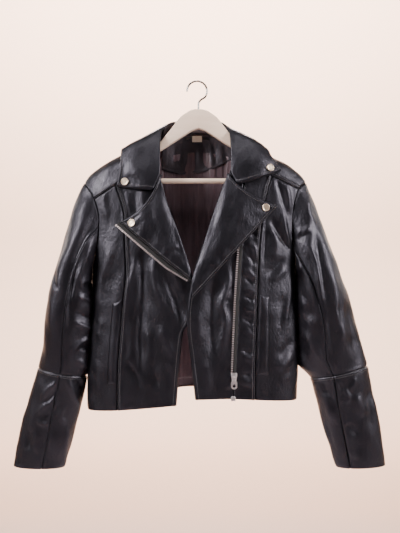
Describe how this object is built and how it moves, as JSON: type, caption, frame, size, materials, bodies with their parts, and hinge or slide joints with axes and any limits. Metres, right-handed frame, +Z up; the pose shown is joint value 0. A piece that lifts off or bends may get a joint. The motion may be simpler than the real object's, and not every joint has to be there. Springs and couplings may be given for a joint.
{
  "type": "faux leather biker jacket on a hanger",
  "caption": "Cropped biker jacket hanging open on a wooden coat hanger, with notched lapels, an off-centre zip, press studs and upright welt pockets.",
  "frame": {"origin": "the inner top of the hanger's hook, where it hangs on a peg or rail", "axes": "+Z up, the front of the jacket faces -Y, +X is the wearer's left"},
  "size_m": [0.762, 0.1244, 0.7919],
  "materials": {
    "leather": "semi-gloss black faux leather with a fine pebbled grain",
    "lining": "dark satin lining",
    "label": "blank cream woven label",
    "tape": "black woven tape",
    "zip_metal": "polished nickel zip metal",
    "stud_metal": "polished pale gold stud",
    "hanger_wood": "white painted wood",
    "hook_wire": "polished steel wire"
  },
  "bodies": {
    "jacket": {"back_panel": "leather", "front_yoke_r": "leather", "front_yoke_l": "leather", "front_centre_r": "leather", "front_centre_l": "leather", "front_side_r": "leather", "front_side_l": "leather", "front_strip_l": "leather", "lapel_r": "leather", "lapel_l": "leather", "collar_leaf": "leather", "collar_stand": "leather", "pocket_welt_r": "leather", "pocket_welt_l": "leather", "sleeve_outer_r": "leather", "sleeve_outer_l": "leather", "sleeve_inner_r": "leather", "sleeve_inner_l": "leather", "cuff_outer_r": "leather", "cuff_outer_l": "leather", "cuff_inner_r": "leather", "cuff_inner_l": "leather", "back_neck_facing": "leather", "back_lining": "lining", "neck_label": "label", "hang_loop": "tape", "lapel_zip_r": "tape", "front_zip_l": "tape", "zip_slider": "zip_metal", "zip_box_l": "zip_metal", "stud_collar_r": "stud_metal", "stud_collar_l": "stud_metal", "stud_lapel_r": "stud_metal", "stud_lapel_l": "stud_metal", "hanger_arms": "hanger_wood", "hanger_bar": "hanger_wood", "hanger_hook": "hook_wire"},
    "zip_pull": {"zip_pull": "zip_metal"}
  },
  "joints": [
    {"name": "pull_hinge", "type": "hinge", "parent": "jacket", "child": "zip_pull", "pos_m": [0.07258, -0.06616, -0.593], "axis": [-1, 0, 0], "range_deg": [0, 150]}
  ]
}
